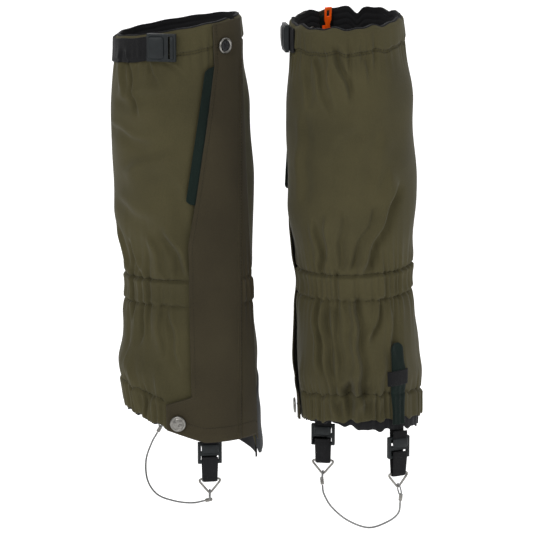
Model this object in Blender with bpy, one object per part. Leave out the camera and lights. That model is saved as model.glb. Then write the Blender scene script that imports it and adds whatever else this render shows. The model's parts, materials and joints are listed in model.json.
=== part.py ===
"""A pair of long hiking gaiters with flap closures, adjustable straps and wire stirrups.

Units are metres, +Z is up and -Y faces the viewer.  Each gaiter is described once by wall
angles and heights: angle 0 is the heel, 90 the outer side of the leg, 180 the toe.
The left gaiter stands at the origin, with its cuff opening around it.  The right gaiter is
its mirror image, turned about the leg.
"""
import math

import bmesh
import bpy
from mathutils import Matrix, Vector

# Leg tube: height, half width, half depth and forward drift of the section's centre.
PROFILE = (
    (0.020, 0.0595, 0.0530, -0.0050),
    (-0.020, 0.0620, 0.0555, -0.0050),
    (-0.085, 0.0690, 0.0620, -0.0035),
    (-0.180, 0.0695, 0.0635, 0.0005),
    (-0.235, 0.0635, 0.0575, 0.0030),
    (-0.262, 0.0600, 0.0545, 0.0030),
    (-0.290, 0.0645, 0.0580, 0.0035),
    (-0.335, 0.0680, 0.0605, 0.0045),
    (-0.385, 0.0660, 0.0590, 0.0065),
    (-0.440, 0.0650, 0.0580, 0.0075),
)
CLOSURE_TOP = (0.0600, 0.0545, -0.0050)
CLOSURE_HEM = (0.0670, 0.0600, 0.0060)
CLOSURE_LENGTH = 0.410
FABRIC = 0.0008
GAP = 0.0007
RIM_TILT = {"left": 0.010, "right": 0.004}
HEM_TILT = {"left": 0.022, "right": 0.009}
HEM_HEIGHT = -0.404

# Closure, as wall angles in degrees.
HINGE_ANGLE = 20.0
ZIP_ANGLE = 27.0
ZIP_HALF_SLIT = 5.0
ZIP_STOP = -0.384
SNAP_UPPER_ANGLE = 46.0
SNAP_LOWER_ANGLE = 100.0
SNAP_UPPER_HEIGHT = -0.016
SNAP_LOWER_HEIGHT = -0.389
SNAP_RADIUS = 0.0078
FLAP_LIFT = 0.0042
FLAP_EDGE = ((0.0, 57.0), (0.10, 57.0), (0.52, 87.0), (0.895, 88.0), (0.935, 110.0), (1.0, 110.0))

# Right gaiter.
RIGHT_PLACE = (0.1600, 0.0, 0.0060)
RIGHT_TURN = -95.0
RIGHT_LEAN = -2.2

# Straps and stirrup.
STRAP_WIDTH = 0.016
STRAP_THICK = 0.0014
LOCK_WIDTH = 0.024
LOCK_HEIGHT = 0.022
LOCK_THICK = 0.0045
RING_BAR_DROP = 0.038
RING_TIP_DROP = 0.053
RING_HALF = 0.0125
PULL_COLUMNS = (-0.0036, -0.0018, 0.0018, 0.0036)
PULL_ROWS = (0.0, 0.0035, 0.0085, 0.0120, 0.0185, 0.0215)
PULL_THICK = 0.0018
PULL_NECK = 0.55
PULL_NECK_END = 0.008
BUCKLE_COLUMNS = (-0.0145, -0.0115, -0.0070, 0.0020, 0.0070, 0.0115, 0.0145)
BUCKLE_ROWS = (-0.0135, -0.0108, 0.0108, 0.0135)
FLAP_ROWS = (
    0.0, 0.05, 0.10, 0.20, 0.31, 0.42, 0.52, 0.60, 0.66, 0.72, 0.82, 0.895, 0.915, 0.935, 0.965, 1.0,
)
RING_WIRE = 0.0010
RING_BAR_BEND = 0.0055
RING_TIP_BEND = 0.0030
CABLE_RADIUS = 0.0009
EYE_WIRE = 0.0007
# Top centre of each ladder-lock, and the way it faces (degrees from +X towards -Y).
STRAPS = {
    "left_lateral": ((0.0250, -0.0490, -0.4110), 80.0),
    "left_medial": ((-0.0260, 0.0350, -0.3560), 235.0),
    "right_lateral": ((0.1390, 0.0130, -0.4080), 100.0),
    "right_medial": ((0.2130, -0.0420, -0.4070), 62.0),
}
CABLE_ROUTES = {
    "left": (
        (-0.0300, 0.0350, -0.4225), (-0.0360, 0.0320, -0.4330), (-0.0415, 0.0240, -0.4490),
        (-0.0395, 0.0090, -0.4660), (-0.0290, -0.0060, -0.4770), (-0.0110, -0.0200, -0.4800),
        (0.0070, -0.0360, -0.4775), (0.0205, -0.0450, -0.4725),
    ),
    "right": (
        (0.1385, 0.0125, -0.4720), (0.1400, 0.0100, -0.4810), (0.1480, 0.0030, -0.4930),
        (0.1640, -0.0070, -0.5040), (0.1850, -0.0160, -0.5090), (0.2040, -0.0250, -0.5000),
        (0.2140, -0.0350, -0.4880), (0.2155, -0.0400, -0.4740),
    ),
}

COLOURS = {
    "olive_fabric": ((0.078, 0.068, 0.033), 0.85, 0.0),
    "flap_fabric": ((0.050, 0.040, 0.022), 0.85, 0.0),
    "lining_fabric": ((0.023, 0.023, 0.026), 0.9, 0.0),
    "heel_fabric": ((0.037, 0.042, 0.044), 0.8, 0.0),
    "tape_fabric": ((0.007, 0.013, 0.012), 0.9, 0.0),
    "webbing": ((0.012, 0.012, 0.013), 0.8, 0.0),
    "elastic": ((0.030, 0.030, 0.030), 0.9, 0.0),
    "plastic": ((0.022, 0.027, 0.031), 0.4, 0.0),
    "orange_pull": ((1.0, 0.105, 0.0), 0.45, 0.0),
    "nickel": ((0.60, 0.58, 0.54), 0.25, 1.0),
    "steel_wire": ((0.55, 0.55, 0.55), 0.3, 1.0),
}


# ---------------------------------------------------------------- leg surface
def profile_at(height):
    """Half width, half depth and drift of the leg at a height, on a smooth curve."""
    rows = PROFILE
    if height >= rows[0][0]:
        return rows[0][1:]
    for index in range(len(rows) - 1):
        upper, lower = rows[index], rows[index + 1]
        if height >= lower[0]:
            share = (upper[0] - height) / (upper[0] - lower[0])
            ease = share * share * (3.0 - 2.0 * share)
            return tuple(a + (b - a) * ease for a, b in zip(upper[1:], lower[1:]))
    return rows[-1][1:]


def closure_share(angle):
    """1 where the wall runs straight beside the closure, easing to 0 around the leg."""
    turn = (angle + 180.0) % 360.0 - 180.0
    if turn < 12.0:
        share = (turn + 14.0) / 26.0
    else:
        share = (104.0 - turn) / 40.0
    share = min(1.0, max(0.0, share))
    return share * share * (3.0 - 2.0 * share)


def section_point(shape, angle, outward):
    half_width, half_depth, drift = shape
    radians = math.radians(angle)
    normal = Vector((math.cos(radians) / half_width, -math.sin(radians) / half_depth))
    normal.normalize()
    x = drift + half_width * math.cos(radians) + outward * normal.x
    y = -half_depth * math.sin(radians) + outward * normal.y
    return Vector((x, y))


def wall(angle, height, outward):
    """A point on the leg surface, in the left gaiter's own frame."""
    free = section_point(profile_at(height), angle, outward)
    share = -height / CLOSURE_LENGTH
    shape = tuple(a + (b - a) * share for a, b in zip(CLOSURE_TOP, CLOSURE_HEM))
    straight = section_point(shape, angle, outward)
    flat = free.lerp(straight, closure_share(angle))
    return Vector((flat.x, flat.y, height))


def rim(side, angle):
    return RIM_TILT[side] * math.cos(math.radians(angle))


def hem(side, angle):
    return HEM_HEIGHT - HEM_TILT[side] * math.cos(math.radians(angle))


def placement(side):
    if side == "left":
        return Matrix.Identity(4)
    mirror = Matrix.Scale(-1.0, 4, Vector((1.0, 0.0, 0.0)))
    turn = Matrix.Rotation(math.radians(RIGHT_TURN), 4, "Z")
    lean = Matrix.Rotation(math.radians(RIGHT_LEAN), 4, "Y")
    return Matrix.Translation(Vector(RIGHT_PLACE)) @ lean @ turn @ mirror


def world_wall(side, angle, height, outward=0.0):
    return placement(side) @ wall(angle, height, outward)


# ---------------------------------------------------------------- mesh helpers
def material(slot):
    found = bpy.data.materials.get(slot)
    if found:
        return found
    colour, roughness, metallic = COLOURS[slot]
    made = bpy.data.materials.new(slot)
    made.use_nodes = True
    shader = made.node_tree.nodes["Principled BSDF"]
    shader.inputs["Base Color"].default_value = (*colour, 1.0)
    shader.inputs["Roughness"].default_value = roughness
    shader.inputs["Metallic"].default_value = metallic
    return made


def finish(name, points, faces, slot, pivot=None, smooth=True):
    """Make one closed object from world points, with its origin at the pivot."""
    origin = Vector(pivot) if pivot else Vector((0.0, 0.0, 0.0))
    mesh = bpy.data.meshes.new(name)
    mesh.from_pydata([Vector(point) - origin for point in points], [], faces)
    work = bmesh.new()
    work.from_mesh(mesh)
    bmesh.ops.recalc_face_normals(work, faces=work.faces)
    work.to_mesh(mesh)
    work.free()
    if smooth:
        mesh.shade_smooth()
        mesh.set_sharp_from_angle(angle=math.radians(40.0))
    mesh.materials.append(material(slot))
    made = bpy.data.objects.new(name, mesh)
    made.location = origin
    bpy.context.scene.collection.objects.link(made)
    return made


def open_between(points, faces, rows, column, gaps):
    """Take a slot out of a slab from grid_slab: one column step, from the top down."""
    a, b, shift = column * rows, (column + 1) * rows, len(points) // 2
    lost = []
    walls = []
    for j in gaps:
        lost.append({a + j, b + j, b + j + 1, a + j + 1})
        lost.append({shift + k for k in lost[-1]})
        walls.append((a + j, a + j + 1, shift + a + j + 1, shift + a + j))
        walls.append((b + j, b + j + 1, shift + b + j + 1, shift + b + j))
    lost.append({a, b, shift + a, shift + b})
    end = gaps[-1] + 1
    walls.append((a + end, b + end, shift + b + end, shift + a + end))
    return points, [face for face in faces if set(face) not in lost] + walls


def grid_slab(outer, inner, closed=False):
    """Points and faces of a sheet with thickness, from two grids of columns."""
    columns, rows = len(outer), len(outer[0])
    points = [p for column in outer for p in column] + [p for column in inner for p in column]
    shift = columns * rows
    faces = []
    last = columns if closed else columns - 1
    for i in range(last):
        a, b = i * rows, ((i + 1) % columns) * rows
        for j in range(rows - 1):
            faces.append((a + j, b + j, b + j + 1, a + j + 1))
            faces.append((shift + a + j + 1, shift + b + j + 1, shift + b + j, shift + a + j))
        faces.append((b, a, shift + a, shift + b))
        end = rows - 1
        faces.append((a + end, b + end, shift + b + end, shift + a + end))
    if not closed:
        for a in (0, (columns - 1) * rows):
            for j in range(rows - 1):
                faces.append((a + j, a + j + 1, shift + a + j + 1, shift + a + j))
    return points, faces


def wall_sheet(side, name, slot, angles, spans, inside, thick, pivot=None, closed=False):
    """A sheet on the leg wall: for each column share, the row list gives angle and height."""
    move = placement(side)
    outer, inner = [], []
    for angle in angles:
        column = spans(angle)
        outer.append([move @ wall(a, h, inside + thick) for a, h in column])
        inner.append([move @ wall(a, h, inside) for a, h in column])
    points, faces = grid_slab(outer, inner, closed)
    return finish(name, points, faces, slot, pivot)


def steps(start, end, count):
    return [start + (end - start) * i / count for i in range(count + 1)]


def band_span(side, top, bottom, rows, follow):
    """Rows of a level band.  follow is 'rim' or 'hem', the edge that it runs along."""
    edge = rim if follow == "rim" else hem
    base = 0.0 if follow == "rim" else HEM_HEIGHT

    def span(angle):
        shift = edge(side, angle) - base
        return [(angle, height + shift) for height in steps(top, bottom, rows)]

    return span


def ribbon(name, slot, frame, path, width, thick, pivot):
    """A strap bent along a path of (outward, up) points, extruded across its width."""
    origin, across, out = frame
    count = len(path)
    left, right = [], []
    for i in range(count):
        before = Vector(path[max(0, i - 1)])
        after = Vector(path[min(count - 1, i + 1)])
        run = (after - before).normalized()
        side = Vector((-run.y, run.x)) * (thick / 2.0)
        left.append(Vector(path[i]) + side)
        right.append(Vector(path[i]) - side)
    outline = left + right[::-1]
    points = []
    for edge in (-width / 2.0, width / 2.0):
        points += [origin + across * edge + out * p.x + Vector((0, 0, p.y)) for p in outline]
    total = len(outline)
    faces = [(i, (i + 1) % total, (i + 1) % total + total, i + total) for i in range(total)]
    for base in (0, total):
        for i in range(count - 1):
            faces.append((base + i, base + i + 1, base + total - 2 - i, base + total - 1 - i))
    return finish(name, points, faces, slot, pivot)


def grid_walls(i, j, rows):
    """The four corners of a grid cell, then each side's corner pair with the cell beyond it."""
    a, b = i * rows + j, (i + 1) * rows + j
    c, d = b + 1, a + 1
    sides = ((a, b, (i, j - 1)), (b, c, (i + 1, j)), (c, d, (i, j + 1)), (d, a, (i - 1, j)))
    return (a, b, c, d), sides


def plate_faces(across_count, up_count, holes):
    """Faces of a plate laid on a grid of points, front sheet first and back sheet after it."""
    faces = []
    back = across_count * up_count

    def solid(i, j):
        return 0 <= i < across_count - 1 and 0 <= j < up_count - 1 and (i, j) not in holes

    for i in range(across_count - 1):
        for j in range(up_count - 1):
            if not solid(i, j):
                continue
            (a, b, c, d), sides = grid_walls(i, j, up_count)
            faces.append((a, b, c, d))
            faces.append((back + d, back + c, back + b, back + a))
            for p, q, beyond in sides:
                if not solid(*beyond):
                    faces.append((p, q, back + q, back + p))
    return faces


def holed_plate(name, slot, frame, columns, rows, holes, thick, pivot):
    """A flat plate on a grid of (across, up) lines, with some cells left open."""
    origin, across, out = frame
    points = []
    for depth in (thick / 2.0, -thick / 2.0):
        for x in columns:
            points += [origin + across * x + Vector((0, 0, z)) + out * depth for z in rows]
    faces = plate_faces(len(columns), len(rows), holes)
    return finish(name, points, faces, slot, pivot, smooth=False)


def tube(route, radius, sides, closed, normal=None):
    """Points and faces of a round tube along a route, in steady frames."""
    count = len(route)
    points, faces = [], []
    for i in range(count):
        if closed:
            run = (route[(i + 1) % count] - route[i - 1]).normalized()
        else:
            run = (route[min(i + 1, count - 1)] - route[max(i - 1, 0)]).normalized()
        if normal is None:
            normal = run.orthogonal().normalized()
        normal = (normal - run * normal.dot(run)).normalized()
        binormal = run.cross(normal)
        for k in range(sides):
            turn = 2.0 * math.pi * k / sides
            points.append(route[i] + (normal * math.cos(turn) + binormal * math.sin(turn)) * radius)
    last = count if closed else count - 1
    for i in range(last):
        a, b = i * sides, ((i + 1) % count) * sides
        for k in range(sides):
            n = (k + 1) % sides
            faces.append((a + k, a + n, b + n, b + k))
    if not closed:
        faces.append(tuple(reversed(range(sides))))
        faces.append(tuple(range((count - 1) * sides, count * sides)))
    return points, faces


def in_triangles(faces):
    """Split four-sided faces, which a swept bend leaves slightly twisted, into flat triangles."""
    return [part for a, b, c, d in faces for part in ((a, b, c), (a, c, d))]


def turned(profile, centre, axis, sides):
    """Points and faces of a solid turned about an axis; the profile is (radius, along)."""
    spin = axis.orthogonal().normalized()
    cross = axis.cross(spin)
    points, faces = [], []
    for radius, along in profile:
        for k in range(sides):
            turn = 2.0 * math.pi * k / sides
            points.append(centre + axis * along + (spin * math.cos(turn) + cross * math.sin(turn)) * radius)
    for i in range(len(profile) - 1):
        a, b = i * sides, (i + 1) * sides
        for k in range(sides):
            n = (k + 1) % sides
            faces.append((a + k, a + n, b + n, b + k))
    faces.append(tuple(range(sides)))
    faces.append(tuple(range((len(profile) - 1) * sides, len(profile) * sides)))
    return points, faces


# ---------------------------------------------------------------- fabric tube
def tube_rows(side):
    shares = (0.0, 0.06, 0.14, 0.30, 0.46, 0.57, 0.62, 0.665, 0.71, 0.80, 0.90, 0.96, 1.0)

    def span(angle):
        top, bottom = rim(side, angle), hem(side, angle)
        return [(angle, top + (bottom - top) * share) for share in shares]

    return span


def make_shell(side):
    angles = steps(ZIP_ANGLE + ZIP_HALF_SLIT, ZIP_ANGLE + 360.0 - ZIP_HALF_SLIT, 44)
    wall_sheet(side, side + "_shell", "olive_fabric", angles, tube_rows(side), 0.0, FABRIC)


def make_inner_bands(side):
    start, end = ZIP_ANGLE + 12.0, ZIP_ANGLE + 348.0
    ring = steps(start, end, 28)
    deep = -GAP - 0.0012
    cuff = band_span(side, 0.0004, -0.044, 2, "rim")
    wall_sheet(side, side + "_cuff_lining", "lining_fabric", ring, cuff, deep, 0.0012)

    def level(angle):
        return [(angle, height) for height in steps(-0.251, -0.273, 2)]

    wall_sheet(side, side + "_waist_elastic", "elastic", ring, level, deep - 0.0010, 0.0012)
    lining = band_span(side, HEM_HEIGHT + 0.005, HEM_HEIGHT - 0.008, 1, "hem")
    back = steps(205.0, 360.0, 16)
    wall_sheet(side, side + "_hem_lining", "lining_fabric", back, lining, deep, 0.0012)


def make_heel_panel(side):
    def span(angle):
        reach = math.cos(math.radians((angle + 20.0) * 1.9))
        top = hem(side, angle) + 0.012 + 0.062 * max(0.0, reach)
        return [(angle, height) for height in steps(top, hem(side, angle) - 0.006, 4)]

    angles = steps(-62.0, 16.0, 10)
    wall_sheet(side, side + "_heel_panel", "heel_fabric", angles, span, FABRIC + GAP, 0.0009)


# ---------------------------------------------------------------- closure
def flap_edge_angle(share):
    for (s0, a0), (s1, a1) in zip(FLAP_EDGE, FLAP_EDGE[1:]):
        if share <= s1:
            return a0 + (a1 - a0) * (share - s0) / (s1 - s0)
    return FLAP_EDGE[-1][1]


def on_flap(side, share_across, share_down):
    angle = HINGE_ANGLE + (flap_edge_angle(share_down) - HINGE_ANGLE) * share_across
    top, bottom = rim(side, angle), hem(side, angle)
    return angle, top + (bottom - top) * share_down


def hinge_pivot(side):
    return world_wall(side, HINGE_ANGLE, -0.200, FLAP_LIFT)


def make_flap(side):
    def span(share):
        return [on_flap(side, share, down) for down in FLAP_ROWS]

    pivot = hinge_pivot(side)
    wall_sheet(side, side + "_flap", "flap_fabric", steps(0.0, 1.0, 9), span, FLAP_LIFT, FABRIC, pivot)

    def tape(shift):
        rows = []
        for down in (0.10, 0.20, 0.31, 0.42):
            angle, height = on_flap(side, 1.0, down)
            rows.append((angle + shift, height))
        return rows

    wall_sheet(side, side + "_hook_tape", "tape_fabric", steps(-9.0, 8.5, 3), tape, 0.0030, 0.0006, pivot)
    wall_sheet(side, side + "_loop_tape", "tape_fabric", steps(-9.0, 4.0, 3), tape, 0.0017, 0.0006)


def snap_frame(side, angle, height):
    centre = world_wall(side, angle, height, 0.0)
    axis = (world_wall(side, angle, height, 0.01) - centre).normalized()
    return centre, axis


def make_snaps(side):
    pivot = hinge_pivot(side)
    cap = [(0.0040, 0.0), (SNAP_RADIUS, 0.0003), (SNAP_RADIUS, 0.0012), (0.0066, 0.0022), (0.0035, 0.0022)]
    spots = {"upper": (SNAP_UPPER_ANGLE, SNAP_UPPER_HEIGHT), "lower": (SNAP_LOWER_ANGLE, SNAP_LOWER_HEIGHT)}
    for place, (angle, height) in spots.items():
        centre, axis = snap_frame(side, angle, height)
        seat = centre + axis * (FLAP_LIFT + FABRIC + GAP)
        points, faces = turned(cap, seat, axis, 20)
        finish(side + "_snap_cap_" + place, points, faces, "nickel", pivot)
        base = centre + axis * (FABRIC + GAP)
        points, faces = turned([(0.0048, 0.0), (0.0048, 0.0006), (0.0022, 0.0012)], base, axis, 14)
        finish(side + "_snap_stud_" + place, points, faces, "nickel")


def zip_line(side):
    top = world_wall(side, ZIP_ANGLE, -0.002, 0.0)
    low = world_wall(side, ZIP_ANGLE, -0.402, 0.0)
    return top, low


def make_zip(side):
    move = placement(side)
    angles = [ZIP_ANGLE + turn for turn in (-7.0, -1.6, 1.6, 7.0)]
    outer, inner = [], []
    for angle in angles:
        heights = [rim(side, angle) - 0.004, -0.200, ZIP_STOP, ZIP_STOP - 0.006]
        outer.append([move @ wall(angle, h, -GAP) for h in heights])
        inner.append([move @ wall(angle, h, -GAP - 0.0008) for h in heights])
    points, faces = grid_slab(outer, inner)
    points, faces = open_between(points, faces, len(heights), 1, (0, 1))
    finish(side + "_zip_tapes", points, faces, "tape_fabric")
    top, low = zip_line(side)
    down = (low - top).normalized()
    out = (world_wall(side, ZIP_ANGLE, -0.002, 0.01) - top).normalized()
    across = down.cross(out).normalized()
    centre = top + down * 0.014
    plates = zip_slider_profile()
    points = []
    for along in (-0.0045, 0.0045):
        points += [centre + down * along + across * x + out * y for x, y in plates]
    total = len(plates)
    faces = [(i, (i + 1) % total, (i + 1) % total + total, i + total) for i in range(total)]
    for base in (0, total):
        faces += [tuple(base + k for k in quad) for quad in ((0, 1, 2, 3), (3, 4, 9, 10), (5, 6, 7, 8))]
        faces += [tuple(base + k for k in quad) for quad in ((10, 11, 0, 3), (4, 5, 8, 9))]
    finish(side + "_zip_slider", points, faces, "orange_pull", centre, smooth=False)
    make_zip_pull(side, centre, down, across, out)


def zip_slider_profile():
    """Cross-section of the slider: inner plate, bridge between the tapes, outer plate."""
    wide, slim = 0.0042, 0.0010
    inner_low, inner_high = -0.0038, -0.0023
    outer_low, outer_high = 0.0001, 0.0012
    return [
        (-wide, inner_low), (wide, inner_low), (wide, inner_high), (slim, inner_high),
        (slim, outer_low), (wide, outer_low), (wide, outer_high), (-wide, outer_high),
        (-wide, outer_low), (-slim, outer_low), (-slim, inner_high), (-wide, inner_high),
    ]


def make_zip_pull(side, centre, down, across, out):
    """A tab narrowed at its hinge end, with a finger hole, tilted off the slider."""
    pivot = centre - out * 0.0056 - down * 0.0020
    tilt = (out * -0.17 - down * 0.985).normalized()
    thin = tilt.cross(across).normalized()
    points = []
    for depth in (PULL_THICK / 2.0, -PULL_THICK / 2.0):
        for x in PULL_COLUMNS:
            for z in PULL_ROWS:
                reach = x * PULL_NECK if z < PULL_NECK_END else x
                points.append(pivot + across * reach + tilt * z + thin * depth)
    faces = plate_faces(len(PULL_COLUMNS), len(PULL_ROWS), {(1, 3)})
    finish(side + "_zip_pull", points, faces, "orange_pull", pivot, smooth=False)


# ---------------------------------------------------------------- cuff belt
def make_cuff_belt(side):
    far = 206.0 if side == "left" else 146.0
    span = band_span(side, -0.0025, -0.0255, 1, "rim")
    wall_sheet(side, side + "_cuff_webbing", "webbing", steps(104.0, far, 9), span, FABRIC + GAP, 0.0014)
    middle = 103.0
    height = rim(side, middle) - 0.0140
    centre = world_wall(side, middle, height, 0.0052)
    axis = (world_wall(side, middle, height, 0.02) - centre).normalized()
    across = Vector((0, 0, 1)).cross(axis).normalized()
    frame = (centre, across, axis)
    pivot = world_wall(side, 90.0, height, 0.0052)
    slots = {(1, 1), (4, 1)}
    holed_plate(side + "_cuff_buckle", "plastic", frame, BUCKLE_COLUMNS, BUCKLE_ROWS, slots, 0.0040, pivot)


# ---------------------------------------------------------------- stirrup
def strap_frame(key):
    place, facing = STRAPS[key]
    radians = math.radians(facing)
    out = Vector((math.cos(radians), -math.sin(radians), 0.0))
    across = Vector((0, 0, 1)).cross(out).normalized()
    return Vector(place), across, out


def stirrup_pivot(side):
    lateral = strap_frame(side + "_lateral")[0]
    return lateral + Vector((0, 0, 0.006))


def make_strap(side, which):
    key = side + "_" + which
    frame = strap_frame(key)
    pivot = stirrup_pivot(side)
    hem_path = [(-0.0032, 0.0055), (-0.0034, 0.0), (-0.0032, -0.0046), (-0.0012, -0.0062),
                (0.0012, -0.0062), (0.0032, -0.0046), (0.0034, -0.0010), (0.0034, 0.0018)]
    ribbon(key + "_hem_strap", "webbing", frame, hem_path, STRAP_WIDTH, STRAP_THICK, pivot)
    half = LOCK_WIDTH / 2.0
    columns = (-half, -half + 0.0030, half - 0.0030, half)
    rows = (-LOCK_HEIGHT, -LOCK_HEIGHT + 0.0034, -0.0140, -0.0096, -0.0032, 0.0)
    holed_plate(key + "_lock", "plastic", frame, columns, rows, {(1, 1), (1, 3)}, LOCK_THICK, pivot)
    bar = -RING_BAR_DROP
    loop = [(-0.0036, -0.0130), (-0.0036, -0.0215), (-0.0026, bar + 0.004), (-0.0024, bar),
            (-0.0014, bar - 0.0021), (0.0014, bar - 0.0021), (0.0024, bar), (0.0026, bar + 0.004),
            (0.0020, -0.0235)]
    ribbon(key + "_webbing", "webbing", frame, loop, STRAP_WIDTH, STRAP_THICK, pivot)
    points, faces = tube(ring_route(frame), RING_WIRE, 8, True, frame[2])
    finish(key + "_ring", points, in_triangles(faces), "nickel", pivot)


def ring_route(frame):
    """A triangle ring with rounded corners, hanging in the strap's own plane."""
    origin, across, out = frame
    corners = [(-RING_HALF, -RING_BAR_DROP), (RING_HALF, -RING_BAR_DROP), (0.0, -RING_TIP_DROP)]
    route = []
    for index, corner in enumerate(corners):
        here = Vector(corner)
        before = Vector(corners[index - 1])
        after = Vector(corners[(index + 1) % 3])
        bend = RING_TIP_BEND if index == 2 else RING_BAR_BEND
        enter = here + (before - here).normalized() * bend
        leave = here + (after - here).normalized() * bend
        for t in (0.0, 0.33, 0.67, 1.0):
            spot = enter * (1 - t) ** 2 + here * (2 * t * (1 - t)) + leave * t ** 2
            route.append(origin + across * spot.x + Vector((0, 0, spot.y)))
    return route


def smooth_route(knots, count):
    """Evenly spread points on a Catmull-Rom curve through the knots."""
    padded = [knots[0] * 2 - knots[1]] + knots + [knots[-1] * 2 - knots[-2]]
    dense = []
    for i in range(1, len(padded) - 2):
        p0, p1, p2, p3 = padded[i - 1:i + 3]
        for k in range(12):
            t = k / 12.0
            dense.append(0.5 * ((2 * p1) + (p2 - p0) * t + (2 * p0 - 5 * p1 + 4 * p2 - p3) * t * t
                                + (3 * p1 - p0 - 3 * p2 + p3) * t ** 3))
    dense.append(knots[-1])
    lengths = [0.0]
    for a, b in zip(dense, dense[1:]):
        lengths.append(lengths[-1] + (b - a).length)
    route, cursor = [], 0
    for k in range(count + 1):
        want = lengths[-1] * k / count
        while cursor < len(dense) - 2 and lengths[cursor + 1] < want:
            cursor += 1
        share = (want - lengths[cursor]) / (lengths[cursor + 1] - lengths[cursor])
        route.append(dense[cursor].lerp(dense[cursor + 1], min(1.0, share)))
    return route


def make_cable(side):
    pivot = stirrup_pivot(side)
    knots = [Vector(point) for point in CABLE_ROUTES[side]]
    route = smooth_route(knots, 36)
    curve = bpy.data.curves.new(side + "_stirrup_cable", "CURVE")
    curve.dimensions = "3D"
    curve.bevel_depth = CABLE_RADIUS
    curve.bevel_resolution = 2
    curve.use_fill_caps = True
    spline = curve.splines.new("POLY")
    spline.points.add(len(route) - 1)
    for slot, point in zip(spline.points, route):
        slot.co = (*(point - pivot), 1.0)
    curve.materials.append(material("steel_wire"))
    made = bpy.data.objects.new(side + "_stirrup_cable", curve)
    made.location = pivot
    bpy.context.scene.collection.objects.link(made)
    first, last = ("medial", "lateral") if side == "left" else ("lateral", "medial")
    cable_end(side, route[0], route[1], first, pivot)
    cable_end(side, route[-1], route[-2], last, pivot)


def cable_end(side, end, inward, which, pivot):
    """A crimped ferrule and the eye that hangs in the ring's tip."""
    origin, across, out = strap_frame(side + "_" + which)
    away = (end - inward).normalized()
    start = end + away * 0.0003
    ferrule = turned([(0.0016, 0.0), (0.0019, 0.0008), (0.0019, 0.0068), (0.0016, 0.0076)], start, away, 10)
    foot = start + away * 0.0050
    tip = origin - Vector((0, 0, RING_TIP_DROP - 0.0040))
    reach = tip - foot
    run = reach.normalized()
    width = out - run * out.dot(run)
    width.normalize()
    half = reach.length / 2.0
    middle = foot + reach / 2.0
    route = []
    for k in range(18):
        turn = 2.0 * math.pi * k / 18
        route.append(middle + run * (half * math.cos(turn)) + width * (0.0032 * math.sin(turn)))
    name = side + "_cable_end_" + which
    body = finish(name, *ferrule, "steel_wire", pivot)
    eye = finish(name + "_eye_guide", *tube(route, EYE_WIRE, 6, True), "steel_wire", pivot)
    eye.hide_render = True
    eye.display_type = "WIRE"
    union = body.modifiers.new("eye", "BOOLEAN")
    union.operation = "UNION"
    union.object = eye


def make_medial_tongue(side):
    """The reinforced strap on the inner side of the leg, and the keeper over it."""
    def span(share):
        rows = []
        for down in (0.0, 0.03, 0.10, 0.30, 0.55, 0.80, 1.0):
            angle = 223.0 + (share - 0.5) * 14.5 * (0.55 + 0.45 * min(1.0, down / 0.10))
            top, bottom = -0.318, hem(side, angle) + 0.001
            rows.append((angle, top + (bottom - top) * down))
        return rows

    lift = FABRIC + 2.0 * GAP
    wall_sheet(side, side + "_strap_tongue", "tape_fabric", steps(0.0, 1.0, 3), span, lift, 0.0010)

    def keeper(share):
        angle = 223.0 + (share - 0.5) * 23.0
        return [(angle, height) for height in (-0.3460, -0.3600)]

    wall_sheet(side, side + "_strap_keeper", "webbing", steps(0.0, 1.0, 3), keeper, 0.0042, 0.0010)


def build():
    for old in list(bpy.data.objects):
        bpy.data.objects.remove(old, do_unlink=True)
    for side in ("left", "right"):
        make_shell(side)
        make_inner_bands(side)
        make_heel_panel(side)
        make_flap(side)
        make_snaps(side)
        make_zip(side)
        make_cuff_belt(side)
        make_medial_tongue(side)
        for which in ("lateral", "medial"):
            make_strap(side, which)
        make_cable(side)


build()
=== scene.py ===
"""Looks of the long hiking gaiters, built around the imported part."""
import json
import math

import bmesh
import bpy
import numpy as np
from mathutils import Matrix, Vector


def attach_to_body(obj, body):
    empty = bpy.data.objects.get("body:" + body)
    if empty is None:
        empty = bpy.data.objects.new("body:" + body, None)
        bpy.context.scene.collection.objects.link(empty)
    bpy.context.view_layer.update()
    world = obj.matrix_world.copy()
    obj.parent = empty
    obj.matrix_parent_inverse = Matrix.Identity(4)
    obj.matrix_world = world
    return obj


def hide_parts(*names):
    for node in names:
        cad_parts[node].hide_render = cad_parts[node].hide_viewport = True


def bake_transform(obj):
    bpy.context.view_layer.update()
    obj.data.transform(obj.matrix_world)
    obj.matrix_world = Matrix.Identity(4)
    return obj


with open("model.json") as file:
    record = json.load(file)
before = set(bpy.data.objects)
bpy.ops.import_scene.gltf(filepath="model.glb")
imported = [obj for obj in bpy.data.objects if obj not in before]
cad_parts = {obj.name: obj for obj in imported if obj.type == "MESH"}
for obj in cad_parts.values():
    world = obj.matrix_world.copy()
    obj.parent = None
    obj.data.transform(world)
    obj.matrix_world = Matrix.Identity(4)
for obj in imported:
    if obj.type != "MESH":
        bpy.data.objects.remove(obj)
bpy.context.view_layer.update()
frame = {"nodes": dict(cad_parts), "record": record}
NODES = frame["nodes"]

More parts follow.
